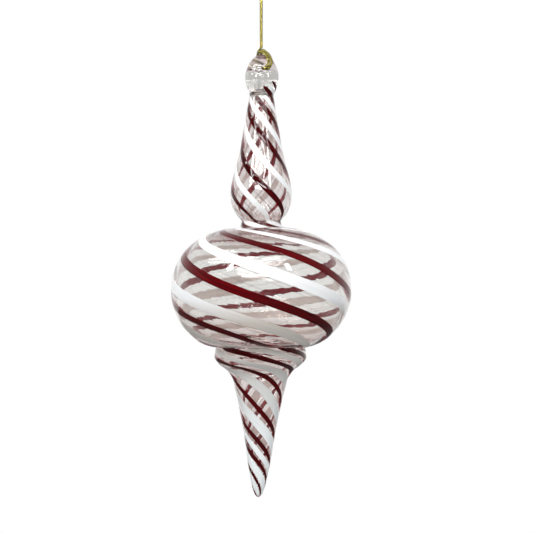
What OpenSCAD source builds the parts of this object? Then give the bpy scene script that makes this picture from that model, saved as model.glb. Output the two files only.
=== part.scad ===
// Blown glass finial ornament with twisted colour canes, hung on a twisted gold cord.
// The outline is given from the tip of the spike upwards. The part hangs from the origin,
// the point where a hook bears in the cord's loop, and the front faces -Y.

/* [Spike] */
// Length of the rounded nose at the tip
nose_l = 4.9; // [4:0.1:6.5]
// Radius where the nose meets the spike
nose_r = 2.7; // [2.2:0.1:3.2]
// Length of the slender lower spike
spike_low_l = 13; // [10:0.5:18]
// Radius halfway up the spike
spike_mid_r = 5.1; // [4:0.1:6.5]
// Length of the upper spike
spike_high_l = 29; // [22:0.5:36]
// Radius at the top of the spike
spike_top_r = 10.9; // [9:0.1:13]

/* [Collar] */
// Height of the flare from the spike to the widest line of the collar
flare_l = 9.7; // [8:0.1:12]
// Radius of the collar at its widest line
collar_r = 18.4; // [15.5:0.1:21.5]
// Height of the lip above the collar's widest line
lip_l = 3.3; // [2.6:0.1:4.2]
// Radius of the crease between the lip and the bulb
crease_r = 17.7; // [15:0.1:21]

/* [Bulb] */
// Radius of the bulb at its widest line
bulb_r = 36.1; // [30:0.5:43]
// Height of the bulb below its widest line
bulb_low_l = 23; // [19:0.5:28]
// Height of the bulb above its widest line
bulb_high_l = 25; // [20:0.5:30]
// Radius where the top of the bulb turns into the waist
shoulder_r = 9.9; // [8.8:0.1:12]

/* [Neck] */
// Height of the waist between the bulb and the neck
waist_l = 2.7; // [2.2:0.1:3.3]
// Radius of the waist at its narrowest line
waist_r = 7.8; // [6.4:0.1:8.6]
// Height of the swell above the waist
swell_l = 10.7; // [8.5:0.1:13]
// Radius of the neck at its widest line
neck_r = 12.3; // [10:0.1:14.8]
// Length of the lower taper of the neck
taper_low_l = 20; // [16:0.5:24]
// Radius halfway up the taper
neck_mid_r = 8; // [6.6:0.1:9.5]
// Length of the upper taper of the neck
taper_high_l = 19.3; // [15:0.1:23.5]
// Radius at the top of the neck, under the eye
neck_top_r = 4.8; // [4:0.1:5.8]

/* [Hanging eye] */
// Height of the eye below its widest line
eye_low_l = 7.4; // [6:0.1:9]
// Height of the eye above its widest line
eye_high_l = 9.1; // [7.7:0.1:11]
// Radius of the eye at its widest line
eye_r = 6.7; // [5.6:0.1:8]
// Height of the hole's axis above the eye's widest line
hole_rise = 3.5; // [2.9:0.1:4.1]
// Radius of the hole for the cord
hole_r = 1.5; // [1.45:0.05:1.8]
// Radius of the hole's rounded mouths
mouth_r = 1; // [0.8:0.1:1.2]
// Angle of the hole round from the front
hole_turn = 14; // [5:1:25]
// Depth of the seam where the eye was folded over
seam_depth = 0.6; // [0.4:0.1:0.8]

/* [Glass wall] */
// Thickness of the blown wall
wall = 1.2; // [1:0.05:1.5]

/* [Canes] */
// Height of a cane above the clear glass
cane_relief = 0.3; // [0.25:0.01:0.36]
// Gap between a cane and the clear glass
cane_seat = 0.24; // [0.22:0.01:0.28]
// Width of a white cane on the bulb
white_w = 4.9; // [4:0.1:5.9]
// Width of a red cane on the bulb
red_w = 3.4; // [2.8:0.1:4]
// Width of the broad second red cane on the bulb
broad_red_w = 3.6; // [2.9:0.1:4.3]
// Distance along the surface from the tip to the canes' lower ends
cane_start = 3; // [2.5:0.1:3.6]

/* [Cord] */
// Diameter of the hanging cord
cord_d = 1.35; // [1.1:0.05:1.35]
// Diameter of the two strands through the eye
strand_d = 1.2; // [1:0.05:1.25]
// Radius of the knot over the eye
eye_knot_r = 1.5; // [1.4:0.05:1.8]
// Height of the knot over the eye
eye_knot_l = 2.4; // [2:0.1:2.9]
// Length of the straight cord between its two knots
cord_l = 21.8; // [18:0.1:26]
// Radius of the knot under the loop
loop_knot_r = 1.9; // [1.6:0.1:2.3]
// Height of the knot under the loop
loop_knot_l = 4; // [3.3:0.1:4.8]

/* [Hidden] */

clear_glass = [0.86, 0.87, 0.86, 0.35];
white_glass = [0.95, 0.96, 0.97];
red_glass = [0.42, 0.03, 0.06];
gold_thread = [0.72, 0.58, 0.2];

// The outline's corners, as [radius, height above the tip]
nose_top = [nose_r, nose_l];
spike_mid = [spike_mid_r, nose_top.y + spike_low_l];
spike_top = [spike_top_r, spike_mid.y + spike_high_l];
collar = [collar_r, spike_top.y + flare_l];
crease = [crease_r, collar.y + lip_l];
bulb = [bulb_r, crease.y + bulb_low_l];
shoulder = [shoulder_r, bulb.y + bulb_high_l];
waist = [waist_r, shoulder.y + waist_l];
neck = [neck_r, waist.y + swell_l];
neck_mid = [neck_mid_r, neck.y + taper_low_l];
neck_top = [neck_top_r, neck_mid.y + taper_high_l];
eye = [eye_r, neck_top.y + eye_low_l];
eye_top = [0, eye.y + eye_high_l];

// Each stretch of the outline is one smooth curve. Its two bends are shares of the way from
// its lower to its upper corner, outwards and upwards.
stretches = [
    [[0, 0],    nose_top,  [0.52, 0],    [0.89, 0.8]],
    [nose_top,  spike_mid, [0.4, 0.33],  [0.75, 0.66]],
    [spike_mid, spike_top, [0.19, 0.31], [0.62, 0.71]],
    [spike_top, collar,    [0.24, 0.58], [1, 0.58]],
    [collar,    crease,    [0, 0.35],    [0.6, 0.9]],
    [crease,    bulb,      [0.47, 0.02], [1, 0.46]],
    [bulb,      shoulder,  [0, 0.48],    [0.31, 0.94]],
    [shoulder,  waist,     [0.57, 0.04], [1, 0.3]],
    [waist,     neck,      [0.02, 0.06], [0.98, 0.25]],
    [neck,      neck_mid,  [0, 0.22],    [0.77, 0.7]],
    [neck_mid,  neck_top,  [0.3, 0.33],  [0.75, 0.7]],
    [neck_top,  eye,       [0.05, 0.15], [1, 0.5]],
    [eye,       eye_top,   [0, 0.42],    [0.4, 1]],
];
curve_steps = 10;

// Degrees that the canes turn round the glass in the lower and upper half of each stretch
turns = [[19, 25], [64, 67], [121, 87], [62, 52], [26, 20], [64, 80], [74, 124],
         [27, 44], [12, 39], [47, 55], [61, 83], [29, 53], [30, 10]];
// Where the canes lie at the very tip, in degrees round from the front
tip_angle = 94;
// Where each cane lies on the spike, the belly of the bulb, its shoulder, the waist, the neck's top
// and halfway up the lower half of the eye.
// They were laid by hand, so they aren't quite even.
white_places = [[-6, 0, 2, 3, 2, 2], [-89, -86, -95, -95, -94, -94],
                [-186, -196, -197, -196, -194, -210], [-282, -279, -275, -276, -268, -268]];
red_places = [[-48, -54, -43, -47, -42, -42], [-143, -142, -146, -148, -144, -178],
              [-243, -237, -236, -237, -231, -235], [-322, -324, -322, -318, -313, -313]];
// A cane's width at each corner of the outline and halfway up both sides of the bulb, as a share
// of its width on the bulb
white_taper = [0.17, 0.48, 0.74, 0.8, 0.47, 0.44, 1, 0.98, 0.74, 0.52, 0.36, 0.48, 0.52, 0.36, 0.24, 0.24];
red_taper = [0.12, 0.24, 0.49, 0.55, 0.6, 0.65, 0.9, 1, 0.98, 0.52, 0.35, 0.68, 0.68, 0.52, 0.3, 0.3];
// How slim each white cane is drawn halfway up the spike, as a share of the others' width there
white_slim = [1, 1, 1, 0.58];
// How far each cane climbs past the top of the neck, as a share of the eye's lower half
white_climb = [0, 0, 0.7, 0.08];
red_climb = [0, 0.88, 0.6, 0.04];
cane_rings = 132;

function bend_point(a, b, bend) = [for (i = [0, 1]) a[i] + bend[i] * (b[i] - a[i])];
function on_curve(p, t) =
    pow(1 - t, 3) * p[0] + 3 * pow(1 - t, 2) * t * p[1] + 3 * (1 - t) * t * t * p[2] + pow(t, 3) * p[3];
function stretch_points(s) =
    let (p = [s[0], bend_point(s[0], s[1], s[2]), bend_point(s[0], s[1], s[3]), s[1]])
    [for (i = [1 : curve_steps]) on_curve(p, i / curve_steps)];

outline = concat([[0, 0]], [for (s = stretches) each stretch_points(s)]);
last = len(outline) - 1;

// Distance along the outline from the tip to each of its points
run = [for (i = 0, s = 0; i <= last; s = i < last ? s + norm(outline[i + 1] - outline[i]) : s, i = i + 1) s];
r_by_run = [for (i = [0 : last]) [run[i], outline[i].x]];
h_by_run = [for (i = [0 : last]) [run[i], outline[i].y]];
function corner_run(k) = run[k * curve_steps];
function half_run(k) = run[(k + 0.5) * curve_steps];

normal_step = 0.3;
function point_at(s) = [lookup(s, r_by_run), lookup(s, h_by_run)];
function normal_at(s) =
    let (d = point_at(s + normal_step) - point_at(s - normal_step))
    [d.y, -d.x] / norm(d);

// The heights of the part's own frame, down from the loop's bearing point
loop_l = 20;
knot_lift = 0.2;
loop_knot_z = -loop_l - loop_knot_l;
eye_knot_z = loop_knot_z - cord_l - eye_knot_l;
eye_top_z = eye_knot_z - knot_lift;
tip_z = eye_top_z - eye_top.y;

// Clear glass
// The cavity follows the outline, one wall thickness inside it, and is closed by round ends.
cavity_first = curve_steps;
cavity_last = 11 * curve_steps;
cavity = [for (i = [cavity_first : cavity_last]) outline[i] - wall * normal_at(run[i])];
cavity_end_steps = 5;
function round_end(p, side) =
    [for (i = [0 : cavity_end_steps - 1])
        let (a = side * 90 * (1 - i / cavity_end_steps))
        [p.x * cos(a), p.y + p.x * sin(a)]];
cavity_low_end = round_end(cavity[0], -1);
cavity_high_end = round_end(cavity[len(cavity) - 1], 1);
cavity_high_end_down = [for (i = [cavity_end_steps - 1 : -1 : 0]) cavity_high_end[i]];

hole_z = tip_z + eye.y + hole_rise;
hole_reach = 2 * eye_r;
// The hole runs level, turned round the ornament from the front
module along_hole() {
    translate([0, 0, hole_z]) rotate([0, 90, hole_turn - 90]) children();
}

// Distance from the hole's middle to the side of the eye
eye_first = 12 * curve_steps;
eye_side = lookup(eye.y + hole_rise, [for (i = [eye_first : last]) [outline[i].y, outline[i].x]]);

// One mouth of the hole, rounded over like a trumpet
module mouth() {
    rotate_extrude($fn = 48)
        polygon(concat([[0, -mouth_r]],
                       [for (a = [0 : 15 : 90]) [hole_r + mouth_r * (1 - cos(a)), -mouth_r * (1 - sin(a))]],
                       [[hole_r + mouth_r, hole_reach], [0, hole_reach]]));
}

// The seam where the eye was folded over, a shallow round groove up the front and the back
seam_turn = 8;
seam_r = 0.9;
seam_bow = 1.8 * eye_r;
seam_sweep = 58;
module seam() {
    for (side = [0, 180])
        rotate([0, 0, side + seam_turn])
            translate([0, seam_bow - eye_r - seam_r + seam_depth, tip_z + eye.y])
                rotate([0, 90, 180])
                    rotate([0, 0, -seam_sweep / 2])
                        rotate_extrude(angle = seam_sweep, $fn = 96)
                            translate([seam_bow, 0]) circle(r = seam_r, $fn = 32);
}

module blown_glass() {
    color(clear_glass)
    difference() {
        translate([0, 0, tip_z]) rotate_extrude($fn = 128) polygon(outline);
        translate([0, 0, tip_z]) rotate_extrude($fn = 128)
            polygon(concat(cavity_low_end, cavity, cavity_high_end_down));
        along_hole() cylinder(r = hole_r, h = 2 * hole_reach, center = true, $fn = 48);
        along_hole() translate([0, 0, eye_side]) mouth();
        along_hole() mirror([0, 0, 1]) translate([0, 0, eye_side]) mouth();
        seam();
    }
}

// Canes
turn_sums = [for (k = 0, t = tip_angle; k < len(turns); t = t - turns[k][0] - turns[k][1], k = k + 1) t];
turn_by_run = [for (k = [0 : len(turns) - 1])
                   each [[corner_run(k), turn_sums[k]], [half_run(k), turn_sums[k] - turns[k][0]]]];
// Averaged over a short stretch, so that the canes have no kinks
blend = 1.1;
function turn_at(s) = (lookup(s - blend, turn_by_run) + lookup(s - blend / 2, turn_by_run)
    + lookup(s, turn_by_run) + lookup(s + blend / 2, turn_by_run) + lookup(s + blend, turn_by_run)) / 5;

function place_at(s, places) = lookup(s, [
    [corner_run(3), places[0]], [corner_run(6) - bulb_low_l / 4, places[1]],
    [half_run(6), places[2]], [corner_run(8), places[3]], [corner_run(11), places[4]],
    [half_run(11), places[5]]]);
bulb_sides = [5, 6];
taper_runs = [for (k = [0 : len(stretches)])
                 each (len(search(k, bulb_sides)) > 0 ? [corner_run(k), half_run(k)] : [corner_run(k)])];
function width_at(s, w, taper) = w * lookup(s, [for (k = [0 : len(taper) - 1]) [taper_runs[k], taper[k]]]);

// A point over the glass, from the distance along the outline, the angle and the height
function over_glass(s, angle, lift) =
    let (p = point_at(s) + lift * normal_at(s))
    [p.x * sin(angle), -p.x * cos(angle), tip_z + p.y];

slope_step = 0.2;
// The cane's section at one place, its inner face first
function cane_ring(s, w, places, across) =
    let (angle = turn_at(s) + place_at(s, places),
         r = point_at(s).x,
         slope = r * (turn_at(s + slope_step) - turn_at(s - slope_step)) / (2 * slope_step) * PI / 180,
         n = len(across),
         up = -slope / sqrt(1 + slope * slope),
         round = 1 / sqrt(1 + slope * slope))
    [for (i = [0 : 2 * n - 1])
        let (inner = i < n,
             a = (inner ? across[i] : 0.86 * across[2 * n - 1 - i]) * w / 2)
        over_glass(s + a * up, angle + a * round / r * 180 / PI, cane_seat + (inner ? 0 : cane_relief))];

// The rings crowd together where the glass is slim, so that the straight runs between them
// stay clear of it
function cane_way(i) =
    norm([run[i + 1] - run[i], outline[i].x * (turn_at(run[i + 1]) - turn_at(run[i])) * PI / 180]);
ring_pace = [for (i = 0, m = 0; i <= last;
                  m = i < last ? m + cane_way(i) / sqrt(outline[i].x + nose_r / 5) : m, i = i + 1) [m, run[i]]];
pace_by_run = [for (p = ring_pace) [p[1], p[0]]];

module cane(w, taper, places, climb, across) {
    first = lookup(cane_start, pace_by_run);
    end = lookup(corner_run(11) - neck_top_r / 8 + climb * eye_low_l, pace_by_run);
    places_run = [for (i = [0 : cane_rings]) lookup(first + (end - first) * i / cane_rings, ring_pace)];
    m = 2 * len(across);
    points = [for (s = places_run) each cane_ring(s, width_at(s, w, taper), places, across)];
    sides = [for (i = [0 : cane_rings - 1], j = [0 : m - 1])
                let (a = i * m + j, b = i * m + (j + 1) % m)
                each [[a, b, b + m], [a, b + m, a + m]]];
    low_end = [[for (j = [m - 1 : -1 : 0]) j]];
    high_end = [[for (j = [0 : m - 1]) cane_rings * m + j]];
    polyhedron(points, concat(sides, low_end, high_end));
}

white_across = [-1, -0.35, 0.35, 1];
red_across = [-1, 0, 1];
module white_cane(i) {
    taper = [for (k = [0 : len(white_taper) - 1]) white_taper[k] * (k == 2 ? white_slim[i] : 1)];
    color(white_glass) cane(white_w, taper, white_places[i], white_climb[i], white_across);
}
module red_cane(i, w) color(red_glass) cane(w, red_taper, red_places[i], red_climb[i], red_across);

// Cord
function unit(v) = v / norm(v);
function route_direction(p, i) = unit(p[min(i + 1, len(p) - 1)] - p[max(i - 1, 0)]);
// The sections stay square to the route and keep their turn about it
function tube_ring(c, t, side, r, n) =
    let (u = unit(side - (side * t) * t), v = cross(t, u))
    [for (i = [0 : n - 1]) c + r * (cos(360 * i / n) * u + sin(360 * i / n) * v)];
tube_sides = 8;
module tube(route, d, side) {
    n = tube_sides;
    m = len(route);
    points = [for (i = [0 : m - 1]) each tube_ring(route[i], route_direction(route, i), side, d / 2, n)];
    faces = [for (i = [0 : m - 2], j = [0 : n - 1])
                let (a = i * n + j, b = i * n + (j + 1) % n)
                each [[a, a + n, b], [b, a + n, b + n]]];
    polyhedron(points, concat(faces, [[for (j = [0 : n - 1]) j]],
                              [[for (j = [n - 1 : -1 : 0]) (m - 1) * n + j]]));
}

cord_rings = 8;
module hanging_cord() {
    color(gold_thread)
    tube([for (i = [0 : cord_rings]) [0, 0, eye_knot_z + eye_knot_l + cord_l * i / cord_rings]], cord_d, [1, 0, 0]);
}

// A small knot, round over its middle and flat at both ends
module knot(r, l) {
    wrap = 50;
    rotate_extrude($fn = 48)
        polygon(concat([[0, 0]],
                       [for (a = [-wrap : 10 : wrap])
                           [r * (cos(a) - 0.3) / 0.7, l / 2 + l / 2 * sin(a) / sin(wrap)]],
                       [[0, l]]));
}
module eye_knot() color(gold_thread) translate([0, 0, eye_knot_z]) knot(eye_knot_r, eye_knot_l);
module loop_knot() color(gold_thread) translate([0, 0, loop_knot_z]) knot(loop_knot_r, loop_knot_l);

// A strand's way round the eye, as [distance along the hole, distance to its right, height over
// the eye's top]: from the knot down the front in a bow, through the hole and up the back
strand_way = [[0.3, 0.1, 1.8], [1, 0.7, 1.2], [2.1, 1.2, 0.6], [3.4, 1.8, -0.4], [4.7, 2.2, -1.8],
              [5.7, 2.25, -3.2], [6.4, 1.8, -4.4], [6.9, 1, -5.3], [6.4, 0.3, -5.9], [5.4, 0, -5.8],
              [4, 0, -5.6], [2, 0, -5.6], [0, 0, -5.6], [-2, 0, -5.6], [-4.4, 0, -5.6],
              [-5.7, 0, -5.5], [-6.3, 0, -4.7], [-6, 0, -3.4], [-4.9, 0, -1.9], [-3.7, 0, -0.4],
              [-2.5, 0, 0.6], [-1.4, 0, 1.2], [-0.4, 0, 1.8]];
strand_gap = 0.1;
module eye_strands() {
    color(gold_thread)
    translate([0, 0, eye_top_z]) rotate([0, 0, hole_turn - 90])
        for (side = [-1, 1])
            tube([for (p = strand_way) p + [0, side * (strand_d + strand_gap) / 2, 0]], strand_d, [0, 1, 0]);
}

// Half of the loop, from its knot to the point that hangs on the hook
loop_half = [[0.8, -21], [1, -19.4], [1.7, -17.4], [2.7, -14.8], [3.6, -12],
             [4.2, -9], [4.3, -6], [3.7, -3.2], [2.3, -0.6]];
module hanging_loop() {
    color(gold_thread)
    tube(concat([for (p = loop_half) [p.x, 0, p.y]], [[0, 0, cord_d / 2]],
                [for (i = [len(loop_half) - 1 : -1 : 0]) [-loop_half[i].x, 0, loop_half[i].y]]),
         cord_d, [0, 1, 0]);
}

blown_glass();
white_cane(0);  // white_cane_1
white_cane(1);  // white_cane_2
white_cane(2);  // white_cane_3
white_cane(3);  // white_cane_4
red_cane(0, red_w);  // red_cane_1
red_cane(1, broad_red_w);  // red_cane_2
red_cane(2, red_w);  // red_cane_3
red_cane(3, red_w);  // red_cane_4
hanging_cord();
eye_strands();
eye_knot();
loop_knot();
hanging_loop();
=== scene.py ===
# Blown glass finial ornament with twisted canes, hung on a gold cord.
# Lengths in the settings are millimetres unless a note says otherwise.
import bisect
import math

import bpy
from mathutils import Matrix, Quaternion, Vector


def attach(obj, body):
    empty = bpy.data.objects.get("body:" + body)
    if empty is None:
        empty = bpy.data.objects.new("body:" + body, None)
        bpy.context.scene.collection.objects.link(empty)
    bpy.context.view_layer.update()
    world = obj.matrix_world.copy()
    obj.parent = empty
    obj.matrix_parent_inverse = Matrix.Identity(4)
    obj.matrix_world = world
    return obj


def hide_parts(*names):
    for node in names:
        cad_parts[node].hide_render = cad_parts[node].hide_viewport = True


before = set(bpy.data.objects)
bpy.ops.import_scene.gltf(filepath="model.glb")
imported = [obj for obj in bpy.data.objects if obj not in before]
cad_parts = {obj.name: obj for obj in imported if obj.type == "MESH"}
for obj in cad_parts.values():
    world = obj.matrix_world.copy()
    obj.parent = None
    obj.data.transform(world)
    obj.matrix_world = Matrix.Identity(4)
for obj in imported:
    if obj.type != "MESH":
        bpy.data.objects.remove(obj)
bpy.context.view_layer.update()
mm = 0.001
print("frame loaded")


# Camera, level and far off, so that the view is almost parallel; its lengths are metres, the sensor's
# millimetres
view = {"distance": 2.0, "height": 0.2132, "x": 0.0021, "z": -0.1332, "sensor": 36}


def makeCamera():
    data = bpy.data.cameras.new("camera")
    data.sensor_width = view["sensor"]
    data.lens = view["sensor"] * view["distance"] / view["height"]
    cam = bpy.data.objects.new("camera", data)
    cam.location = (view["x"], -view["distance"], view["z"])
    cam.rotation_euler = (math.pi / 2, 0, 0)
    bpy.context.scene.collection.objects.link(cam)
    bpy.context.scene.camera = cam


makeCamera()
print("camera set")


def lookUp(x, table):
    # straight lines between the table's pairs, level past its ends
    if x <= table[0][0]:
        return table[0][1]
    for (x0, y0), (x1, y1) in zip(table, table[1:]):
        if x <= x1:
            return y0 + (y1 - y0) * (x - x0) / (x1 - x0)
    return table[-1][1]


def smoothCurve(table):
    # a smooth curve through the table's pairs that never swings past them
    xs, ys = zip(*table)
    slopes = [(b - a) / (d - c) for a, b, c, d in zip(ys, ys[1:], xs, xs[1:])]
    ends = [slopes[0]]
    for a, b in zip(slopes, slopes[1:]):
        ends.append(0 if a * b <= 0 else 2 * a * b / (a + b))
    ends.append(slopes[-1])

    def value(x):
        x = min(max(x, xs[0]), xs[-1])
        i = next((k for k in range(len(slopes) - 1) if x <= xs[k + 1]), len(slopes) - 1)
        w = xs[i + 1] - xs[i]
        t = (x - xs[i]) / w
        return (
            (2 * t ** 3 - 3 * t * t + 1) * ys[i] + (t ** 3 - 2 * t * t + t) * w * ends[i]
            + (3 * t * t - 2 * t ** 3) * ys[i + 1] + (t ** 3 - t * t) * w * ends[i + 1]
        )

    return value


def pick(obj):
    # one object alone is selected and active
    bpy.ops.object.select_all(action="DESELECT")
    obj.select_set(True)
    bpy.context.view_layer.objects.active = obj


def meshPiece(name, points, faces, uvs=None):
    mesh = bpy.data.meshes.new(name)
    mesh.from_pydata([Vector(p) * mm for p in points], [], faces)
    if uvs:
        layer = mesh.uv_layers.new(name="lay")
        for loop in mesh.loops:
            layer.data[loop.index].uv = uvs[loop.vertex_index]
    obj = bpy.data.objects.new(name, mesh)
    bpy.context.scene.collection.objects.link(obj)
    return obj


def smoothShade(obj, angle):
    pick(obj)
    bpy.ops.object.shade_smooth_by_angle(angle=math.radians(angle))


# Cord: the route is the part's own, from the knot over the eye up to the hook's loop and back
cord = {
    "diameter": 1.35,
    "strandDiameter": 1.2,
    "strandGap": 0.1,
    "strandStart": 0.8,  # turn of the strands' plies where they start, in radians
    "plies": 3,
    "lay": 2.7,  # length of one turn of the plies
    "plyShare": 0.5,  # a ply's thickness as a share of the cord's
    "sides": 8,
    "step": 0.22,
    "pathStep": 1,
    "creaseAngle": 80,
    "eyeTop": -48.4,
    # each knot: its lower end, length, radius and turns, the thickness of its thread, how far it leans
    # aside, and the turn of its plies where it starts, in radians
    "eyeKnot": {"low": -48.2, "length": 2.4, "radius": 1.5, "turns": 1.7, "thread": 1.15, "aside": -0.35,
                "start": 0.4},
    "loopKnot": {"low": -24, "length": 4, "radius": 1.9, "turns": 2.6, "thread": 1.25, "aside": 0.0,
                 "start": 0.9},
    "knotSteps": 10,  # points in one turn of a knot
    "knotTuck": 0.35,  # how far a knot is drawn in at its ends, as a share of its radius
    "knotSwell": 4,  # how soon a knot has its full radius: 4 is within a quarter of its length
    "straight": [(0, 0, -45.8), (0, 0, -43), (0, 0, -40.3), (0, 0, -37.6), (0, 0, -34.9),
                 (0, 0, -32.2), (0, 0, -29.4), (0, 0, -26.7), (0.2, 0, -24), (0.6, 0, -22.4)],
    "loopHalf": [(0.8, -21), (1, -19.4), (1.7, -17.4), (2.7, -14.8), (3.6, -12),
                 (4.2, -9), (4.3, -6), (3.7, -3.2), (2.3, -0.6)],
    # round the eye: distance along the hole, distance to its right, height over the eye's top
    "strandWay": [(0.3, 0.1, 1.8), (1, 0.7, 1.2), (2.1, 1.2, 0.6), (3.4, 1.8, -0.4), (4.7, 2.2, -1.8),
                  (5.7, 2.25, -3.2), (6.4, 1.8, -4.4), (6.9, 1, -5.3), (6.4, 0.3, -5.9), (5.4, 0, -5.8),
                  (4, 0, -5.6), (2, 0, -5.6), (0, 0, -5.6), (-2, 0, -5.6), (-4.4, 0, -5.6),
                  (-5.7, 0, -5.5), (-6.3, 0, -4.7), (-6, 0, -3.4), (-4.9, 0, -1.9), (-3.7, 0, -0.4),
                  (-2.5, 0, 0.6), (-1.4, 0, 1.2), (-0.4, 0, 1.8)],
    "holeTurn": 14,
}


def easeRoute(route, step):
    # a smooth line through the route's points, cut into even steps
    p = [Vector(q) for q in route]
    p = [2 * p[0] - p[1]] + p + [2 * p[-1] - p[-2]]
    fine = []
    for a, b, c, d in zip(p, p[1:], p[2:], p[3:]):
        n = max(2, round((c - b).length / step))
        for i in range(n):
            t = i / n
            fine.append(0.5 * (2 * b + (c - a) * t + (2 * a - 5 * b + 4 * c - d) * t * t
                               + (3 * b - a - 3 * c + d) * t ** 3))
    return fine + [p[-2]]


def layCord(name, routes, diameter, start=0.0):
    # plies twisted round each other along each route
    points, faces, uvs, ridge = [], [], [], []
    sides, plies = cord["sides"], cord["plies"]
    plyR = diameter * cord["plyShare"] / 2
    off = diameter / 2 - plyR
    for route in routes:
        line = easeRoute(route, cord["step"])
        last = len(line) - 1
        ways = [(line[min(i + 1, last)] - line[max(i - 1, 0)]).normalized() for i in range(last + 1)]
        side = ways[0].orthogonal().normalized()
        run, frames = 0.0, []
        for i, (at, way) in enumerate(zip(line, ways)):
            run += (at - line[i - 1]).length if i else 0
            side = (side - side.dot(way) * way).normalized()
            frames.append((at, way, side, way.cross(side), run))
        for ply in range(plies):
            first = len(points)
            for at, way, x, y, s in frames:
                a = 2 * math.pi * (s / cord["lay"] + ply / plies) + start
                out = math.cos(a) * x + math.sin(a) * y
                turn = way.cross(out)
                lean = 2 * math.pi * off / cord["lay"]
                along = (way + lean * turn).normalized()
                across = along.cross(out)
                for k in range(sides):
                    b = 2 * math.pi * k / sides
                    points.append(at + off * out + plyR * (math.cos(b) * out + math.sin(b) * across))
                    uvs.append((k / sides, s))
                    # how far each point faces out of its ply, which paints shade in the valleys
                    ridge.append(math.cos(b))
            rings = len(frames)
            for i in range(rings - 1):
                for k in range(sides):
                    a, b = first + i * sides + k, first + i * sides + (k + 1) % sides
                    faces.append((a, b, b + sides, a + sides))
            faces.append([first + k for k in range(sides - 1, -1, -1)])
            faces.append([first + (rings - 1) * sides + k for k in range(sides)])
    obj = meshPiece(name, points, faces, uvs)
    layer = obj.data.attributes.new("ridge", "FLOAT", "POINT")
    layer.data.foreach_set("value", ridge)
    smoothShade(obj, cord["creaseAngle"])
    return obj


def alongHole(p, q, z):
    # a point given along the hole and across it
    a = math.radians(cord["holeTurn"] - 90)
    return (p * math.cos(a) - q * math.sin(a), p * math.sin(a) + q * math.cos(a), z)


def knotRoute(knot):
    # a coil wound tightly round the cord, its two ends tucked in
    n = round(knot["turns"] * cord["knotSteps"])
    tuck, swell, thread = cord["knotTuck"], cord["knotSwell"], knot["thread"]
    route = []
    for i in range(n + 1):
        t = i / n
        r = (knot["radius"] - thread / 2) * (tuck + (1 - tuck) * min(1, swell * t, swell * (1 - t)))
        a = 2 * math.pi * knot["turns"] * t
        x = knot["aside"] * math.sin(math.pi * t) + r * math.cos(a)
        route.append((x, r * math.sin(a), knot["low"] + thread / 2 + (knot["length"] - thread) * t))
    return route


def makeCords():
    half = cord["loopHalf"]
    loop = half + [(0, cord["diameter"] / 2)] + [(-x, z) for x, z in reversed(half)]
    route = cord["straight"] + [(x, 0, z) for x, z in loop]
    hanging = layCord("hangingCord", [route], cord["diameter"])
    across = (cord["strandDiameter"] + cord["strandGap"]) / 2
    routes = [[alongHole(p, q + side, cord["eyeTop"] + z) for p, q, z in cord["strandWay"]]
              for side in (-across, across)]
    strands = layCord("eyeStrands", routes, cord["strandDiameter"], cord["strandStart"])
    knots = [(name, cord[name]) for name in ("eyeKnot", "loopKnot")]
    eyeKnot, loopKnot = (layCord(name, [knotRoute(knot)], knot["thread"], knot["start"])
                         for name, knot in knots)
    for obj, nodes in ((hanging, ["hanging_cord", "hanging_loop"]), (strands, ["eye_strands"]),
                       (eyeKnot, ["eye_knot"]), (loopKnot, ["loop_knot"])):
        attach(obj, "root")
        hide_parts(*nodes)
    path = [tuple(v * mm for v in p) for p in easeRoute(route, cord["pathStep"])]
    return [hanging, strands, eyeKnot, loopKnot]


cords = makeCords()
print("cords laid:", [o.name for o in cords])


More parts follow.
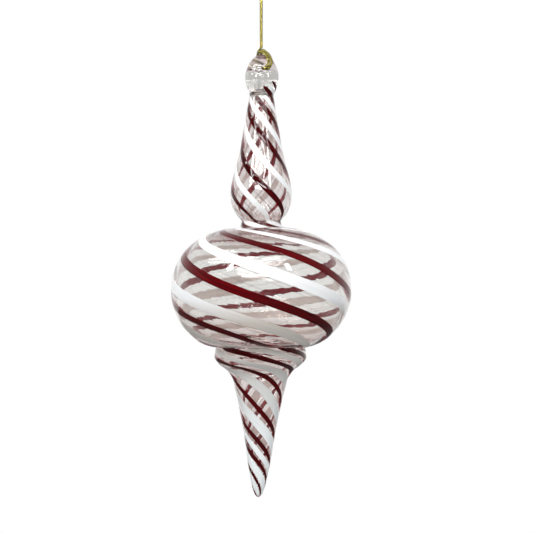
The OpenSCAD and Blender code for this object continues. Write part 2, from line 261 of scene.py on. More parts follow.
# Glass: each corner of the outline is its radius, its rise from the corner below, and the two
# bends of the curve that ends there, as shares of the way outwards and upwards
glass = {
    "corners": [
        (2.7, 4.9, (0.52, 0), (0.89, 0.8)),  # nose of the spike
        (5.1, 13, (0.4, 0.33), (0.75, 0.66)),  # middle of the spike
        (10.9, 29, (0.19, 0.31), (0.62, 0.71)),  # top of the spike
        (18.4, 9.7, (0.24, 0.58), (1, 0.58)),  # collar
        (17.7, 3.3, (0, 0.35), (0.6, 0.9)),  # crease over the collar
        (36.1, 23, (0.47, 0.02), (1, 0.46)),  # bulb
        (9.9, 25, (0, 0.48), (0.31, 0.94)),  # shoulder
        (7.8, 2.7, (0.57, 0.04), (1, 0.3)),  # waist
        (12.3, 10.7, (0.02, 0.06), (0.98, 0.25)),  # neck
        (8, 20, (0, 0.22), (0.77, 0.7)),  # middle of the neck
        (4.8, 19.3, (0.3, 0.33), (0.75, 0.7)),  # top of the neck
        (6.7, 7.4, (0.05, 0.15), (1, 0.5)),  # eye
        (0, 9.1, (0, 0.42), (0.4, 1)),  # top of the eye
    ],
    # the corners that end each part, counted from the tip: the bulb's is its widest ring
    "nose": 1, "spikeMiddle": 2, "spike": 3, "bulb": 6, "waist": 8, "neck": 11,
    "curveSteps": 24,
    "tip": -225.5,
    "step": 0.62,
    "eyeStep": 0.3,  # on the eye and the nose
    "poleGap": 0.1,  # the last ring keeps this far from the pole
    "normalReach": 0.35,
    "around": 168,
    "creaseAngle": 50,
    "wall": 1.2,
    "lens": 0.0095,  # how much thinner the wall is between the canes, as a share of the radius
    "lensMean": 0.67,  # mean of the bow between two canes, which keeps the wall's mean
    "leastRadius": 0.01,  # smallest radius that is divided by
    "cavityStep": 1.1,
    "cavityCapSteps": 6,
    "cavityAround": 128,
    # sideways drift of the middle line, which is not quite straight, by height above the tip
    "drift": [(0, -1.2), (20, -0.75), (50, -0.4), (83, 0), (125, -0.05), (155, 0), (165, 0.3),
              (178, 0.4)],
    "holeRadius": 1.5,
    "holeMouth": 1.0,
    "mouthSteps": 8,
    "holeAround": 72,
    "holeHeight": 171.5,
    "holeNear": 0.6,  # how near the hole's height the eye's radius is read
    "holePast": 4,  # how far the cutter stands out of the eye
    "seamTurn": 8,
    "seamDepth": 0.5,
    "seamWidth": 0.8,
    "seamFrom": 3.2,  # nearer the axis are the walls of the hole, which the seam leaves alone
    "layLength": 100,  # length along the outline that counts as one in the lay attribute
    "seamHeights": (159.5, 163.5, 168.5, 171),
}


def makeOutline():
    points, corner = [(0.0, 0.0)], (0.0, 0.0)
    for r, rise, low, high in glass["corners"]:
        end = (r, corner[1] + rise)
        bends = [corner] + [tuple(a + s * (b - a) for a, b, s in zip(corner, end, bend))
                            for bend in (low, high)] + [end]
        for i in range(1, glass["curveSteps"] + 1):
            t = i / glass["curveSteps"]
            w = ((1 - t) ** 3, 3 * (1 - t) ** 2 * t, 3 * (1 - t) * t * t, t ** 3)
            points.append(tuple(sum(k * b[j] for k, b in zip(w, bends)) for j in (0, 1)))
        corner = end
    return points


outline = makeOutline()
runs = [0.0]
for low, high in zip(outline, outline[1:]):
    runs.append(runs[-1] + math.dist(low, high))
cornerRuns = runs[::glass["curveSteps"]]
halfRuns = runs[glass["curveSteps"] // 2::glass["curveSteps"]]
outlineHeights = [h for r, h in outline]
outlineAt = {}


def pointAt(s):
    # radius and height at a distance along the outline; the last place found is where the search starts
    s = min(max(s, 0), runs[-1])
    i = outlineAt.get("i", 0)
    while i > 0 and runs[i] > s:
        i -= 1
    while i < len(runs) - 2 and runs[i + 1] < s:
        i += 1
    outlineAt["i"] = i
    t = (s - runs[i]) / (runs[i + 1] - runs[i])
    return tuple(a + t * (b - a) for a, b in zip(outline[i], outline[i + 1]))


def normalAt(s):
    (r0, h0), (r1, h1) = (pointAt(s + side * glass["normalReach"]) for side in (-1, 1))
    d = math.hypot(r1 - r0, h1 - h0)
    return (h1 - h0) / d, -(r1 - r0) / d


# Canes: degrees that they turn round the glass in the lower and upper half of each stretch of
# the outline, and where each one lies on the spike, the belly of the bulb, its shoulder, the waist,
# the neck's top and the eye
canes = {
    "turns": [(19, 25), (64, 67), (121, 87), (62, 52), (26, 20), (64, 80), (74, 124),
              (27, 44), (12, 39), (47, 55), (61, 83), (29, 53), (30, 10)],
    "tipAngle": 94,
    "bellyBelow": 5.75,  # the belly's place lies this far under the widest ring of the bulb
    "white": [(-6, 0, 2, 3, 2, 2), (-89, -86, -95, -95, -94, -94), (-186, -196, -197, -196, -194, -210),
              (-282, -279, -275, -276, -268, -268)],
    "red": [(-48, -54, -43, -47, -42, -42), (-143, -142, -146, -148, -144, -178),
            (-243, -237, -236, -237, -231, -235), (-322, -324, -322, -318, -313, -313)],
    "whiteWidth": 4.9,
    "redWidth": [3.4, 3.6, 3.4, 3.4],
    # widths at the corners and halfway up both sides of the bulb, as shares of the width on the bulb
    "whiteTaper": [0.17, 0.48, 0.74, 0.8, 0.47, 0.44, 1, 0.98, 0.74, 0.52, 0.36, 0.48, 0.52, 0.36,
                   0.24, 0.24],
    "redTaper": [0.12, 0.24, 0.49, 0.55, 0.6, 0.65, 0.9, 1, 0.98, 0.52, 0.35, 0.68, 0.68, 0.52,
                 0.3, 0.3],
    "whiteSlim": [1, 1, 1, 0.58],  # how slim each white one is halfway up the spike
    # how far each cane climbs the eye, as a share of the climb, and how far under the eye the rest end
    "whiteClimb": [0, 0, 0.7, 0.08],
    "redClimb": [0, 0.88, 0.6, 0.04],
    "climb": 7.4,
    "endBelow": 0.6,
    "start": 1.2,
    "tail": 1.5,  # length over which a cane rounds off at its ends
    "tailShare": 0.25,  # its width at the very end, as a share
    "step": 0.5,
    "leastStep": 0.02,
    "slopeReach": 0.1,
    "across": 8,
    "proud": 0.05,
    "deep": 0.3,
    "edge": 0.03,
    "creaseAngle": 70,
}


def makeTwist():
    table, angle = [], canes["tipAngle"]
    for s0, s1, (low, high) in zip(cornerRuns, halfRuns, canes["turns"]):
        table += [(s0, angle), (s1, angle - low)]
        angle -= low + high
    return smoothCurve(table + [(runs[-1], angle)])


twistAt = makeTwist()
bulb, neck = glass["bulb"], glass["neck"]
stations = [cornerRuns[glass["spike"]], cornerRuns[bulb] - canes["bellyBelow"], halfRuns[bulb],
            cornerRuns[glass["waist"]], cornerRuns[neck], halfRuns[neck]]
taperRuns = sorted(cornerRuns + halfRuns[bulb - 1:bulb + 1])


def makeLine(places):
    # where a cane lies at a distance along the outline, in degrees
    return smoothCurve([(0, places[0])] + list(zip(stations, places)) + [(runs[-1], places[-1])])


whiteLines = [makeLine(places) for places in canes["white"]]
redLines = [makeLine(places) for places in canes["red"]]


def place(r, angle, h):
    # a point of the glass in the part's own frame, its angle in radians round from the front
    return (r * math.sin(angle) + lookUp(h, glass["drift"]), -r * math.cos(angle), glass["tip"] + h)


def spinProfile(name, profile, around):
    # a lone point is drawn out along the profile in edit mode and spun round the axis
    bpy.ops.object.select_all(action="DESELECT")
    bpy.ops.mesh.primitive_plane_add(size=mm)
    obj = bpy.context.object
    obj.name = name
    bpy.ops.object.mode_set(mode="EDIT")
    bpy.ops.mesh.merge(type="CENTER")
    bpy.ops.transform.translate(value=(profile[0][0] * mm, 0, profile[0][1] * mm))
    for (r0, z0), (r1, z1) in zip(profile, profile[1:]):
        bpy.ops.mesh.extrude_region_move(
            TRANSFORM_OT_translate={"value": ((r1 - r0) * mm, 0, (z1 - z0) * mm)})
    bpy.ops.mesh.select_all(action="SELECT")
    bpy.ops.mesh.spin(steps=around, angle=2 * math.pi, center=(0, 0, 0), axis=(0, 0, 1))
    bpy.ops.mesh.select_all(action="SELECT")
    bpy.ops.mesh.remove_doubles(threshold=0.004 * mm)
    bpy.ops.mesh.normals_make_consistent(inside=False)
    bpy.ops.object.mode_set(mode="OBJECT")
    return obj


def outerProfile():
    profile, s = [], 0.0
    while s < runs[-1] - glass["poleGap"]:
        profile.append(pointAt(s))
        fine = s > cornerRuns[neck] or s < cornerRuns[glass["nose"]]
        s += glass["eyeStep"] if fine else glass["step"]
    profile[0] = (0, 0)
    return [(r, glass["tip"] + h) for r, h in profile + [outline[-1]]]


def cavityProfile():
    first, last = cornerRuns[glass["nose"]], cornerRuns[neck]
    n = round((last - first) / glass["cavityStep"])
    line = []
    for i in range(n + 1):
        s = first + (last - first) * i / n
        (r, h), (nr, nh) = pointAt(s), normalAt(s)
        line.append((r - glass["wall"] * nr, h - glass["wall"] * nh))
    low, high = line[0], line[-1]
    caps = glass["cavityCapSteps"]
    quarter = [math.pi / 2 * k / caps for k in range(caps)]
    bottom = [(low[0] * math.sin(a), low[1] - low[0] * math.cos(a)) for a in quarter]
    top = [(high[0] * math.cos(a), high[1] + high[0] * math.sin(a)) for a in quarter[1:]]
    pole = [(0, high[1] + high[0])]
    return [(r, glass["tip"] + h) for r, h in bottom + line + top + pole]


def heightToRun(h):
    i = min(max(bisect.bisect_left(outlineHeights, h), 1), len(runs) - 1)
    t = (h - outlineHeights[i - 1]) / (outlineHeights[i] - outlineHeights[i - 1])
    return runs[i - 1] + min(max(t, 0), 1) * (runs[i] - runs[i - 1])


def thinBetweenCanes(obj):
    # the wall is thickest behind the canes, so that each clear strip bends what is seen through it
    rings = {}
    for v in obj.data.vertices:
        x, y, h = v.co.x / mm, v.co.y / mm, v.co.z / mm - glass["tip"]
        r = math.hypot(x, y)
        key = round(h, 3)
        if key not in rings:
            s = heightToRun(h)
            lines = sorted((line(s) + twistAt(s)) % 360 for line in whiteLines + redLines)
            rings[key] = (lines[-1:] + lines + lines[:1], normalAt(s))
        lines, (nr, nh) = rings[key]
        angle = math.degrees(math.atan2(x, -y)) % 360
        i = bisect.bisect_right(lines, angle, 1, len(lines) - 1)
        low, high = lines[i - 1], lines[i]
        span = (high - low) % 360
        t = ((angle - low) % 360) / span
        lift = glass["lens"] * r * (4 * t * (1 - t) - glass["lensMean"])
        v.co.x += x / max(r, glass["leastRadius"]) * nr * lift * mm
        v.co.y += y / max(r, glass["leastRadius"]) * nr * lift * mm
        v.co.z += nh * lift * mm


def boreHole(obj):
    # a straight hole with rounded mouths, cut through the eye and eased at its rims
    side = max(r for r, h in outline if abs(h - glass["holeHeight"]) < glass["holeNear"])
    mouth, steps, past = glass["holeMouth"], glass["mouthSteps"], side + glass["holePast"]
    flare = [(glass["holeRadius"] + mouth * (1 - math.cos(a)), side - mouth * (1 - math.sin(a)))
             for a in (math.pi / 2 * k / steps for k in range(steps + 1))]
    half = flare + [(glass["holeRadius"] + mouth, past), (0, past)]
    cutter = spinProfile("holeCutter", [(r, -z) for r, z in reversed(half)] + half, glass["holeAround"])
    pick(cutter)
    middle = (0, 0, 0)
    bpy.ops.transform.rotate(value=math.pi / 2, orient_axis="Y", center_override=middle)
    bpy.ops.object.transform_apply(location=False, rotation=True, scale=False)
    turn = -math.radians(cord["holeTurn"] - 90)
    bpy.ops.transform.rotate(value=turn, orient_axis="Z", center_override=middle)
    bpy.ops.transform.translate(value=(0, 0, (glass["tip"] + glass["holeHeight"]) * mm))
    bpy.ops.object.transform_apply(location=True, rotation=True, scale=False)
    pick(obj)
    cut = obj.modifiers.new("hole", "BOOLEAN")
    cut.operation, cut.object, cut.solver = "DIFFERENCE", cutter, "EXACT"
    bpy.ops.object.modifier_apply(modifier="hole")
    bpy.data.objects.remove(cutter)


def layStreaks(obj):
    # a direction round the twist and the distance up it, which wrap with no seam
    layer = obj.data.attributes.new("lay", "FLOAT_VECTOR", "POINT")
    turns, values = {}, []
    for v in obj.data.vertices:
        x, y, h = v.co.x / mm, v.co.y / mm, v.co.z / mm - glass["tip"]
        key = round(h, 3)
        if key not in turns:
            s = heightToRun(h)
            turns[key] = (s, math.radians(twistAt(s)))
        s, twist = turns[key]
        a = math.atan2(x, -y) - twist
        values += [math.cos(a), math.sin(a), s / glass["layLength"]]
    layer.data.foreach_set("vector", values)


def shapeEye(obj):
    # the seam where the eye was folded over, and the drift of the middle line
    h0, h1, h2, h3 = glass["seamHeights"]
    ramp = [(h0, 0), (h1, 1), (h2, 1), (h3, 0)]
    seam = math.radians(glass["seamTurn"])
    for v in obj.data.vertices:
        x, y, h = v.co.x / mm, v.co.y / mm, v.co.z / mm - glass["tip"]
        r = math.hypot(x, y)
        if h0 < h < h3 and r > glass["seamFrom"]:
            angle = math.atan2(x, -y)
            for turn in (0, math.pi):
                off = (angle - seam - turn + math.pi) % (2 * math.pi) - math.pi
                fade = math.exp(-(off * r / glass["seamWidth"]) ** 2)
                dip = glass["seamDepth"] * lookUp(h, ramp) * fade
                v.co.x -= x / r * dip * mm
                v.co.y -= y / r * dip * mm
        v.co.x += lookUp(h, glass["drift"]) * mm


def makeGlass():
    body = spinProfile("clearBody", outerProfile(), glass["around"])
    boreHole(body)
    hollow = spinProfile("hollow", cavityProfile(), glass["cavityAround"])
    thinBetweenCanes(hollow)
    pick(hollow)
    bpy.ops.object.mode_set(mode="EDIT")
    bpy.ops.mesh.select_all(action="SELECT")
    bpy.ops.mesh.flip_normals()
    bpy.ops.object.mode_set(mode="OBJECT")
    pick(body)
    hollow.select_set(True)
    bpy.ops.object.join()
    layStreaks(body)
    shapeEye(body)
    smoothShade(body, glass["creaseAngle"])
    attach(body, "root")
    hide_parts("blown_glass")
    return body


clearBody = makeGlass()
print("glass blown:", len(clearBody.data.polygons), "faces")


def makeCane(name, placeAt, width, taper, climb, node):
    widthAt = smoothCurve([(s, width * t) for s, t in zip(taperRuns, taper)])
    start, reach = canes["start"], canes["slopeReach"]
    end = cornerRuns[neck] - canes["endBelow"] + climb * canes["climb"]
    points, faces, uvs, inside = [], [], [], []
    n = canes["across"]
    ring = 2 * n
    s, run = start, 0.0
    while True:
        angle = math.radians(twistAt(s) + placeAt(s))
        r = pointAt(s)[0]
        slope = r * math.radians(twistAt(s + reach) - twistAt(s - reach)) / (2 * reach)
        norm = math.hypot(1, slope)
        # rounded off towards both ends
        tail = min(1, canes["tailShare"] + math.sqrt(max(0, min(s - start, end - s)) / canes["tail"]))
        half = widthAt(s) * tail / 2
        for k in range(ring):
            outer = k >= n
            # from one edge to the other under the skin and back over it, closer set at the edges
            x = -math.cos(math.pi * (k if k < n else ring - k) / n)
            bulge = math.sqrt(max(0, 1 - x * x))
            lift = (canes["proud"] + canes["edge"]) * bulge if outer else -canes["deep"] * bulge
            lift -= canes["edge"]
            at = s - half * x * slope / norm
            (pr, ph), (nr, nh) = pointAt(at), normalAt(at)
            turn = angle + half * x / norm / r
            points.append(place(pr + lift * nr, turn, ph + lift * nh))
            uvs.append((x * half, run))
            inside.append(0.0 if outer or k == 0 else 1.0)
        left = end - s
        if left < 1e-6:
            break
        ds = min(canes["step"] / norm, max(left, 0))
        s += max(ds, canes["leastStep"]) if left > canes["leastStep"] else left
        run += ds * norm
    rings = len(points) // ring
    for i in range(rings - 1):
        for k in range(ring):
            a, b = i * ring + k, i * ring + (k + 1) % ring
            faces.append((a, b, b + ring, a + ring))
    faces.append(list(range(ring - 1, -1, -1)))
    faces.append([(rings - 1) * ring + k for k in range(ring)])
    obj = meshPiece(name, points, faces, uvs)
    layer = obj.data.attributes.new("inside", "FLOAT", "POINT")
    layer.data.foreach_set("value", inside)
    smoothShade(obj, canes["creaseAngle"])
    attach(obj, "root")
    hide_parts(node)
    return obj


whiteCanes, redCanes = [], []
for i, slim in enumerate(canes["whiteSlim"]):
    taper = [t * slim if k == glass["spikeMiddle"] else t for k, t in enumerate(canes["whiteTaper"])]
    whiteCanes.append(makeCane(f"whiteCane{i + 1}", whiteLines[i], canes["whiteWidth"], taper,
                               canes["whiteClimb"][i], f"white_cane_{i + 1}"))
    redCanes.append(makeCane(f"redCane{i + 1}", redLines[i], canes["redWidth"][i],
                             canes["redTaper"], canes["redClimb"][i], f"red_cane_{i + 1}"))
print("canes drawn:", sum(len(o.data.polygons) for o in whiteCanes + redCanes), "faces")


# Materials: a wrapped socket lets shader maths be written as plain expressions
class Value:
    def __init__(self, board, socket):
        self.board, self.socket = board, socket

    def part(self, name):
        # another output of the same node
        return Value(self.board, self.socket.node.outputs[name])

    def maths(self, operation, other, swap=False):
        pair = [other, self] if swap else [self, other]
        return self.board.add("ShaderNodeMath", {"operation": operation}, pair)

    def __add__(self, other):
        return self.maths("ADD", other)

    def __radd__(self, other):
        return self.maths("ADD", other, True)

    def __sub__(self, other):
        return self.maths("SUBTRACT", other)

    def __rsub__(self, other):
        return self.maths("SUBTRACT", other, True)

    def __mul__(self, other):
        return self.maths("MULTIPLY", other)

    def __rmul__(self, other):
        return self.maths("MULTIPLY", other, True)


class Board:
    # the node board of one material or of the world
    def __init__(self, owner):
        owner.use_nodes = True
        self.tree = owner.node_tree
        self.tree.nodes.clear()

    def add(self, kind, settings=None, sockets=None, output=0):
        node = self.tree.nodes.new(kind)
        for key, value in (settings or {}).items():
            if key == "stops":
                ramp = node.color_ramp.elements
                while len(ramp) < len(value):
                    ramp.new(0.5)
                for element, (at, colour) in zip(ramp, value):
                    element.position, element.color = at, (*colour, 1)
            else:
                setattr(node, key, value)
        pairs = enumerate(sockets) if isinstance(sockets, list) else (sockets or {}).items()
        for key, value in pairs:
            if isinstance(value, Value):
                self.tree.links.new(value.socket, node.inputs[key])
            else:
                node.inputs[key].default_value = value
        return Value(self, node.outputs[output]) if node.outputs else node


def toneRamp(board, share, stops):
    stops = [(at, tone if isinstance(tone, tuple) else (tone, tone, tone)) for at, tone in stops]
    return board.add("ShaderNodeValToRGB", {"stops": stops}, {"Fac": share})


def atMostOne(board, value):
    return board.add("ShaderNodeMath", {"operation": "MINIMUM"}, [value, 1.0])


def heightShare(board):
    # height above the tip of the spike, as a share of the glass's height
    spot = board.add("ShaderNodeTexCoord", output="Object")
    height = board.add("ShaderNodeSeparateXYZ", {}, [spot], "Z")
    return (height - glass["tip"] * mm) * (1 / (outline[-1][1] * mm))


def newMaterial(name):
    material = bpy.data.materials.new(name)
    return material, Board(material)


def mixColours(board, share, low, high):
    # a Mix node numbers its sockets over all kinds of data: these are the factor and the two colours
    low, high = (tone if isinstance(tone, Value) else (*tone, 1) for tone in (low, high))
    return board.add("ShaderNodeMix", {"data_type": "RGBA"}, {0: share, 6: low, 7: high}, 2)


def timesTone(board, colour, tone):
    return board.add("ShaderNodeVectorMath", {"operation": "MULTIPLY"}, [colour, tone])


clearLook = {
    "ior": 1.5,
    # fine streaks drawn out along the twist over a slow ripple, and thin lines of painted mauve tint, an
    # image of
    # the red canes seen through the glass: how close they lie round the glass and along it, their
    # detail, their depth in metres, or the noise they fill
    "streaks": {"around": 6.0, "along": 2.5, "detail": 2.5, "depth": 0.00003},
    "ripple": {"around": 3.2, "along": 5.0, "detail": 1.0, "depth": 0.00002},
    "lines": {"around": 9.0, "along": 2.5, "detail": 4.0, "noise": (0.56, 0.68)},
    "paintedTint": (0.52, 0.44, 0.43),
    # by height, as a share of the glass's: its tone, whose grey at the eye is the thick glass and whose
    # mauve at the collar, the waist and the eye's top is a painted image of the red canes, how much the
    # lines show and how uneven its skin is
    "tones": [(0.0, (0.87, 0.83, 0.82)), (0.285, (0.86, 0.82, 0.81)), (0.33, (0.8, 0.75, 0.73)),
              (0.366, (0.8, 0.75, 0.73)), (0.41, (0.87, 0.85, 0.83)), (0.456, (0.89, 0.885, 0.87)),
              (0.565, (0.89, 0.885, 0.87)), (0.595, (0.7, 0.61, 0.59)), (0.62, (0.7, 0.61, 0.59)),
              (0.65, (0.87, 0.85, 0.84)), (0.724, (0.87, 0.84, 0.83)), (0.895, (0.87, 0.84, 0.83)),
              (0.927, (0.53, 0.525, 0.505)), (0.954, (0.55, 0.545, 0.525)),
              (0.975, (0.66, 0.57, 0.56)), (1.0, (0.66, 0.57, 0.56))],
    "lined": [(0.0, 0.45), (0.26, 0.5), (0.34, 0.75), (0.4, 0.3), (0.56, 0.35), (0.62, 0.75),
              (0.66, 0.8), (0.86, 0.8), (0.9, 0.0)],
    "uneven": [(0.0, 1.0), (0.88, 1.0), (0.92, 0.3), (1.0, 0.3)],
}


def drawnNoise(board, lay, look):
    # noise drawn out along the twist
    scale = (look["around"], look["around"], look["along"])
    drawn = board.add("ShaderNodeMapping", {}, {"Vector": lay, "Scale": scale})
    return board.add("ShaderNodeTexNoise", {}, {"Vector": drawn, "Scale": 1.0, "Detail": look["detail"]})


def clearGlass():
    material, board = newMaterial("clearGlass")
    lay = board.add("ShaderNodeAttribute", {"attribute_name": "lay"}, output="Vector")
    high = heightShare(board)
    uneven = toneRamp(board, high, clearLook["uneven"])
    streaks, ripple, lines = (clearLook[name] for name in ("streaks", "ripple", "lines"))
    wave = board.add("ShaderNodeBump", {}, {
        "Strength": 1.0, "Distance": ripple["depth"], "Height": drawnNoise(board, lay, ripple) * uneven})
    bump = board.add("ShaderNodeBump", {}, {
        "Strength": 1.0, "Distance": streaks["depth"],
        "Height": drawnNoise(board, lay, streaks) * uneven, "Normal": wave})
    # thick glass is darker, and a painted mauve tint, an image of the red canes seen through the glass,
    # lies on the narrow parts
    low, full = lines["noise"]
    drawn = board.add("ShaderNodeMapRange", {}, {
        "Value": drawnNoise(board, lay, lines), "From Min": low, "From Max": full})
    shown = drawn * toneRamp(board, high, clearLook["lined"])
    paintedTint = mixColours(board, shown, (1.0, 1.0, 1.0), clearLook["paintedTint"])
    skin = board.add("ShaderNodeBsdfPrincipled", {}, {
        "Base Color": timesTone(board, toneRamp(board, high, clearLook["tones"]), paintedTint),
        "Roughness": 0.0, "IOR": clearLook["ior"], "Transmission Weight": 1.0, "Normal": bump})
    board.add("ShaderNodeOutputMaterial", {}, {"Surface": skin})
    return material


caneLook = {
    # streaks along each cane: how close they lie across it and along it, their detail, the noise that
    # they fill, and their bump's strength and depth in metres
    "streaks": {"scale": (1.6, 0.06, 1), "detail": 3.0, "noise": (0.35, 0.65), "bump": (0.08, 0.0002)},
    # each glass: its tones on the streaks and beside them, and its painted tone and painted glow on the
    # inner face, which stand in for shade and for light that comes through the cane from behind
    "white": {"low": (0.88, 0.885, 0.885), "high": (0.95, 0.955, 0.955), "inside": (0.62, 0.55, 0.525),
              "glow": (0.315, 0.278, 0.262), "roughness": 0.15, "ior": 1.45,
              # painted shade: greyer and taupe low on the bulb, where it faces down
              "tones": [(0.0, (0.95, 0.98, 0.98)), (0.14, (0.95, 0.98, 0.98)), (0.22, (0.82, 0.82, 0.8)),
                        (0.31, (0.74, 0.7, 0.66)), (0.395, (0.76, 0.69, 0.62)), (0.45, 1.0)]},
    "red": {"low": (0.055, 0.0015, 0.003), "high": (0.15, 0.002, 0.004), "inside": (0.22, 0.014, 0.018),
            "glow": (0.085, 0.004, 0.008), "roughness": 0.03, "ior": 1.35,
            "tones": [(0.0, 0.5), (0.15, 0.6), (0.25, 0.75), (0.3, 0.45), (0.4, 0.65), (0.47, 1.0),
                      (0.56, 0.9), (0.62, 0.6), (0.67, 0.5), (1.0, 0.5)]},
}


def caneGlass(name):
    look, streaks = caneLook[name], caneLook["streaks"]
    material, board = newMaterial(name + "Glass")
    lay = board.add("ShaderNodeUVMap", {"uv_map": "lay"})
    drawn = board.add("ShaderNodeMapping", {}, {"Vector": lay, "Scale": streaks["scale"]})
    streak = board.add("ShaderNodeTexNoise", {}, {
        "Vector": drawn, "Scale": 1.0, "Detail": streaks["detail"]})
    low, full = streaks["noise"]
    share = board.add("ShaderNodeMapRange", {}, {"Value": streak, "From Min": low, "From Max": full})
    # painted shade by height: the white is greyer low on the bulb, whose underside faces away from the
    # light, and the red is darker away from the belly of the bulb
    tone = toneRamp(board, heightShare(board), look["tones"])
    outer = timesTone(board, mixColours(board, share, look["low"], look["high"]), tone)
    inside = board.add("ShaderNodeAttribute", {"attribute_name": "inside"}, output="Fac")
    # the inner face takes a painted tone: shade on the white canes, light on the red ones
    colour = mixColours(board, inside, outer, look["inside"])
    # painted glow on the inner face, standing in for light that soaks through the cane from behind
    glow = mixColours(board, inside, (0.0, 0.0, 0.0), look["glow"])
    strength, depth = streaks["bump"]
    bump = board.add("ShaderNodeBump", {}, {"Strength": strength, "Distance": depth, "Height": streak})
    skin = board.add("ShaderNodeBsdfPrincipled", {}, {
        "Base Color": colour, "Roughness": look["roughness"], "IOR": look["ior"], "Normal": bump,
        "Emission Color": glow, "Emission Strength": 1.0})
    board.add("ShaderNodeOutputMaterial", {}, {"Surface": skin})
    return material


threadLook = {
    # the thread's dark and gold tones, and the painted glow that brightens it
    "dark": (0.025, 0.018, 0.002), "gold": (0.84, 0.73, 0.19), "glow": (0.085, 0.073, 0.008),
    "roughness": 0.14,
    "ridge": [(0.6, 0.0), (1.0, 1.0)],  # painted shade: the valleys between the plies are darker
    # flat foil filaments wound round each ply: their turn in radians, their noise and what of it is
    # painted as glints, the tone between the painted glints as a share, and their bump's strength and
    # depth in metres
    "foil": {"turn": 0.5, "scale": (1.0, 1.25, 1), "fineness": 1.6, "detail": 3.0, "noise": (0.42, 0.58),
             "least": 0.2, "bump": (0.6, 0.0001)},
}


def goldThread():
    material, board = newMaterial("goldThread")
    look = threadLook["foil"]
    lay = board.add("ShaderNodeUVMap", {"uv_map": "lay"})
    drawn = board.add("ShaderNodeMapping", {}, {
        "Vector": lay, "Rotation": (0, 0, look["turn"]), "Scale": look["scale"]})
    foil = board.add("ShaderNodeTexNoise", {}, {
        "Vector": drawn, "Scale": look["fineness"], "Detail": look["detail"]})
    low, full = look["noise"]
    paintedGlint = board.add("ShaderNodeMapRange", {}, {"Value": foil, "From Min": low, "From Max": full})
    ridge = board.add("ShaderNodeAttribute", {"attribute_name": "ridge"}, output="Fac")
    share = toneRamp(board, ridge, threadLook["ridge"]) * (paintedGlint * (1 - look["least"]) + look["least"])
    colour = mixColours(board, share, threadLook["dark"], threadLook["gold"])
    # painted glow on the ridges and the painted glints, which brightens the gold
    glow = mixColours(board, share, (0.0, 0.0, 0.0), threadLook["glow"])
    strength, depth = look["bump"]
    bump = board.add("ShaderNodeBump", {}, {"Strength": strength, "Distance": depth, "Height": foil})
    skin = board.add("ShaderNodeBsdfPrincipled", {}, {
        "Base Color": colour, "Metallic": 1.0, "Roughness": threadLook["roughness"], "Normal": bump,
        "Emission Color": glow, "Emission Strength": 1.0})
    board.add("ShaderNodeOutputMaterial", {}, {"Surface": skin})
    return material


def dress(objects, material):
    for obj in objects:
        obj.data.materials.clear()
        obj.data.materials.append(material)


dress([clearBody], clearGlass())
dress(whiteCanes, caneGlass("white"))
dress(redCanes, caneGlass("red"))
dress(cords, goldThread())
print("materials mixed")


# Studio: a white sweep behind, a darker room in front, a soft key light from the left and above, and
# narrow lights all round in front whose reflections show on the neck, the shoulder of the bulb and
# the eye; its lengths are metres and its turns degrees
studio = {
    "floorZ": -0.42, "floorRadius": 1.4, "floorSides": 96,
    "floorColour": 0.45, "floorGlow": 0.6, "floorMirror": 0.15,
    "fill": [(0.0, (0.36, 0.345, 0.33)), (0.5, (0.66, 0.67, 0.68)), (1.0, (0.92, 0.95, 0.98))],
    "throughGlass": 0.7,  # makes up for the lamps' light, which does not pass the glass
    # tones that gloss and glass see, from the front round to the back and from below to above
    "mirrorTurn": [(0.0, 0.08), (0.3, 0.1), (0.6, 0.55), (0.8, 1.0), (1.0, 1.0)],
    "clearTurn": [(0.0, 0.32), (0.5, 0.6), (0.85, 0.93), (1.0, 1.0)],
    "rise": [(0.0, 0.4), (0.25, 0.7), (0.42, 1.0), (0.62, 1.0), (0.8, 0.68), (1.0, 0.5)],
    "key": {"at": (-0.2, -0.78, 0.5), "toward": (0, 0, -0.12), "size": (0.6, 0.45), "watts": 6.5},
    # each strip: its distance from the axis, its turns at both sides, its heights below and above,
    # and its brightness
    "strips": [(0.15, -46, -39, -0.055, 0.0, 24), (0.3, -26, 22, -0.015, 0.014, 27),
               (0.15, 34, 40, -0.055, 0.0, 24)],
    # slats above and beside the strips: their turns at both sides, and their heights with how tall
    # each is; every other one is shifted the other way
    "slatTurns": [(-86, -52), (-44, -8), (-2, 40)],
    "slats": [(-0.012, 0.005), (0.008, 0.006), (0.034, 0.008), (0.07, 0.012), (0.115, 0.016)],
    "slatRadius": 0.15,
    "slatShift": 3,
    "slatSlant": 20,
    "slatBright": 22,
    # bright panes in front, seen by way of the far wall's inner face: from and to by height, by side,
    # their soft edges, and how far they reach back
    "paneRows": [(0.67, 0.69), (0.74, 0.77), (0.82, 0.85)],
    "paneColumns": [(0.28, 0.33), (0.38, 0.46), (0.53, 0.62)],
    "paneEdge": 0.01,
    "paneFront": [(0.4, 1.0), (0.5, 0.0)],
    "paneBright": 7.0,
}


def rayShares(board):
    rays = board.add("ShaderNodeLightPath")
    names = ("Is Camera Ray", "Is Glossy Ray", "Is Transmission Ray", "Diffuse Depth")
    return {name: rays.part(name) for name in names}


def paneStops(bands):
    # bright from and to, with a soft edge at both sides
    edge = studio["paneEdge"]
    return [stop for low, high in bands
            for stop in ((low - edge, 0.0), (low, 1.0), (high, 1.0), (high + edge, 0.0))]


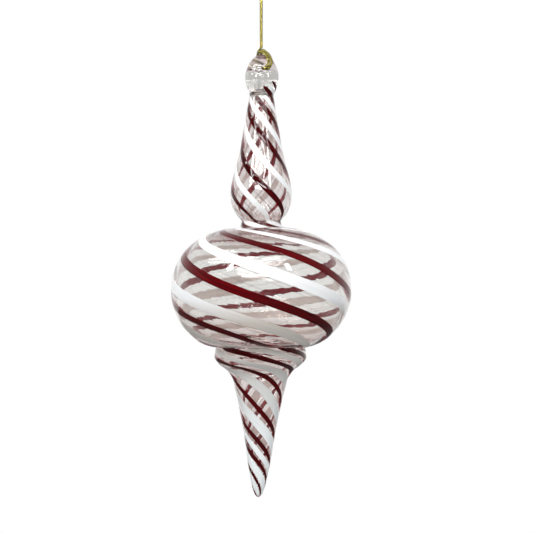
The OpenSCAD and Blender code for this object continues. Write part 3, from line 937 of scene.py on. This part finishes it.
def makeWorld():
    world = bpy.data.worlds.new("studio")
    bpy.context.scene.world = world
    board = Board(world)
    rays = rayShares(board)
    aim = board.add("ShaderNodeTexCoord", output="Generated")
    parts = board.add("ShaderNodeSeparateXYZ", {}, [aim])
    side, back, up = (parts.part(axis) * 0.5 + 0.5 for axis in "XYZ")
    rise = toneRamp(board, up, studio["rise"])
    panes = (toneRamp(board, up, paneStops(studio["paneRows"]))
             * toneRamp(board, side, paneStops(studio["paneColumns"]))
             * toneRamp(board, back, studio["paneFront"]) * studio["paneBright"])
    mirrored, clear = (timesTone(board, toneRamp(board, back, studio[name]), rise)
                       for name in ("mirrorTurn", "clearTurn"))
    clear = board.add("ShaderNodeVectorMath", {"operation": "ADD"}, [clear, panes])
    tones = [board.add("ShaderNodeBackground", {}, {"Color": tone, "Strength": 1.0})
             for tone in (mirrored, clear)]
    through = rays["Is Transmission Ray"]
    seen = board.add("ShaderNodeMixShader", {}, [through, *tones])
    white = board.add("ShaderNodeBackground", {}, {"Color": (1, 1, 1, 1), "Strength": 1.0})
    fill = board.add("ShaderNodeBackground", {}, {
        "Color": toneRamp(board, up, studio["fill"]),
        "Strength": 1.0 + through * studio["throughGlass"]})
    direct = 1.0 - atMostOne(board, rays["Diffuse Depth"])
    sharp = atMostOne(board, rays["Is Glossy Ray"] + through) * direct
    soft = board.add("ShaderNodeMixShader", {}, [sharp, fill, seen])
    full = board.add("ShaderNodeMixShader", {}, [rays["Is Camera Ray"], soft, white])
    board.add("ShaderNodeOutputWorld", {}, {"Surface": full})


def makeFloor():
    bpy.ops.object.select_all(action="DESELECT")
    bpy.ops.mesh.primitive_circle_add(vertices=studio["floorSides"], radius=studio["floorRadius"],
                                      fill_type="NGON", location=(0, 0, studio["floorZ"]))
    floor = bpy.context.object
    floor.name = "floor"
    material, board = newMaterial("paleFloor")
    rays = rayShares(board)
    clear = atMostOne(board, rays["Is Camera Ray"] + rays["Is Transmission Ray"] + rays["Is Glossy Ray"])
    tone = studio["floorColour"]
    shade = board.add("ShaderNodeBsdfDiffuse", {}, {"Color": (tone, tone, tone, 1)})
    glow, dim = (board.add("ShaderNodeEmission", {}, {"Color": (1, 1, 1, 1), "Strength": studio[name]})
                 for name in ("floorGlow", "floorMirror"))
    both = board.add("ShaderNodeAddShader", {}, [glow, shade])
    pale = board.add("ShaderNodeMixShader", {}, [clear, shade, both])
    # gloss sees the floor dim, and glass sees it pale
    mirrored = rays["Is Glossy Ray"] * (1.0 - rays["Is Transmission Ray"])
    full = board.add("ShaderNodeMixShader", {}, [mirrored, pale, dim])
    board.add("ShaderNodeOutputMaterial", {}, {"Surface": full})
    dress([floor], material)


def addLight(name, at, target, size, watts, glossy, diffuse, slant=0.0):
    data = bpy.data.lights.new(name, "AREA")
    data.shape, data.size, data.size_y, data.energy = "RECTANGLE", size[0], size[1], watts
    lamp = bpy.data.objects.new(name, data)
    lamp.location = at
    aim = (Vector(target) - Vector(at)).to_track_quat("-Z", "Y")
    lamp.rotation_euler = (aim @ Quaternion((0, 0, 1), math.radians(slant))).to_euler()
    lamp.visible_camera = False
    lamp.visible_glossy = glossy
    lamp.visible_diffuse = diffuse
    bpy.context.scene.collection.objects.link(lamp)


def faceLamp(name, reach, sides, level, tall, bright, shift=0.0, slant=0.0):
    # a flat lamp that faces the axis and shows only in gloss and glass
    low, high = sides
    turn = math.radians((low + high) / 2 + shift)
    size = (2 * reach * math.sin(math.radians(high - low) / 2), tall)
    at = (reach * math.sin(turn), -reach * math.cos(turn), level)
    watts = bright * math.pi * size[0] * size[1]
    addLight(name, at, (0, 0, level), size, watts, True, False, slant)


def makeLights():
    key = studio["key"]
    addLight("keyLight", key["at"], key["toward"], key["size"], key["watts"], False, True)
    for i, (reach, low, high, bottom, top, bright) in enumerate(studio["strips"]):
        faceLamp(f"stripLight{i + 1}", reach, (low, high), (bottom + top) / 2, top - bottom, bright)
    for i, sides in enumerate(studio["slatTurns"]):
        for j, (level, tall) in enumerate(studio["slats"]):
            faceLamp(f"slatLight{i + 1}{j + 1}", studio["slatRadius"], sides, level, tall,
                     studio["slatBright"], studio["slatShift"] * (-1) ** j, studio["slatSlant"])


makeWorld()
makeFloor()
makeLights()
bpy.context.scene.view_settings.view_transform = "Standard"
print("studio lit")
